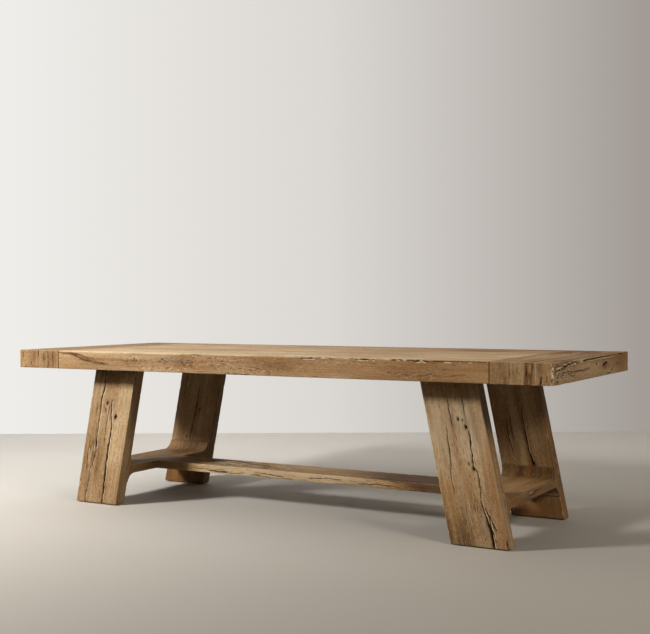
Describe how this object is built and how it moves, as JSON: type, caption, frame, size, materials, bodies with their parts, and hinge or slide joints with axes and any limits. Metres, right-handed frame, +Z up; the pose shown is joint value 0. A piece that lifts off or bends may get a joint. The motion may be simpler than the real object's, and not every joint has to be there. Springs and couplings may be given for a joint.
{
  "type": "trestle dining table",
  "caption": "Rectangular dining table: thick planked top with end blocks of cross staves, on splayed slab-leg trestles tied by low coved rails and a long flat stretcher.",
  "frame": {"origin": "on the floor, under the middle of the top", "axes": "+X along the table, +Y across it to the back, +Z up"},
  "size_m": [2.743, 1.067, 0.762],
  "materials": {
    "plank_oak": "waxed reclaimed oak, matt",
    "stave_oak": "waxed reclaimed oak, matt",
    "tongue_oak": "bare sawn oak",
    "leg_oak": "waxed reclaimed oak, matt",
    "rail_oak": "waxed reclaimed oak, matt",
    "stretcher_oak": "waxed reclaimed oak, matt",
    "plate_steel": "flat steel bar, matt black paint",
    "screw_steel": "zinc-plated steel",
    "insert_brass": "turned brass",
    "glide_nylon": "moulded nylon, matt"
  },
  "bodies": {
    "root": {"plank_1": "plank_oak", "plank_2": "plank_oak", "plank_3": "plank_oak", "plank_4": "plank_oak", "plank_5": "plank_oak", "plank_6": "plank_oak", "plank_7": "plank_oak", "edge_tongue_1": "tongue_oak", "edge_tongue_2": "tongue_oak", "edge_tongue_3": "tongue_oak", "edge_tongue_4": "tongue_oak", "edge_tongue_5": "tongue_oak", "edge_tongue_6": "tongue_oak", "left_end_stave_1": "stave_oak", "left_end_stave_2": "stave_oak", "left_end_stave_3": "stave_oak", "left_end_stave_4": "stave_oak", "left_end_pegs": "tongue_oak", "left_front_leg": "leg_oak", "left_front_glides": "glide_nylon", "left_back_leg": "leg_oak", "left_back_glides": "glide_nylon", "left_rail": "rail_oak", "left_head_plate": "plate_steel", "left_leg_screws": "screw_steel", "left_top_bolts": "screw_steel", "left_bolt_washers": "screw_steel", "left_top_inserts": "insert_brass", "left_lock_screws": "screw_steel", "right_end_stave_1": "stave_oak", "right_end_stave_2": "stave_oak", "right_end_stave_3": "stave_oak", "right_end_stave_4": "stave_oak", "right_end_pegs": "tongue_oak", "right_front_leg": "leg_oak", "right_front_glides": "glide_nylon", "right_back_leg": "leg_oak", "right_back_glides": "glide_nylon", "right_rail": "rail_oak", "right_head_plate": "plate_steel", "right_leg_screws": "screw_steel", "right_top_bolts": "screw_steel", "right_bolt_washers": "screw_steel", "right_top_inserts": "insert_brass", "right_lock_screws": "screw_steel", "long_stretcher": "stretcher_oak"}
  },
  "joints": []
}
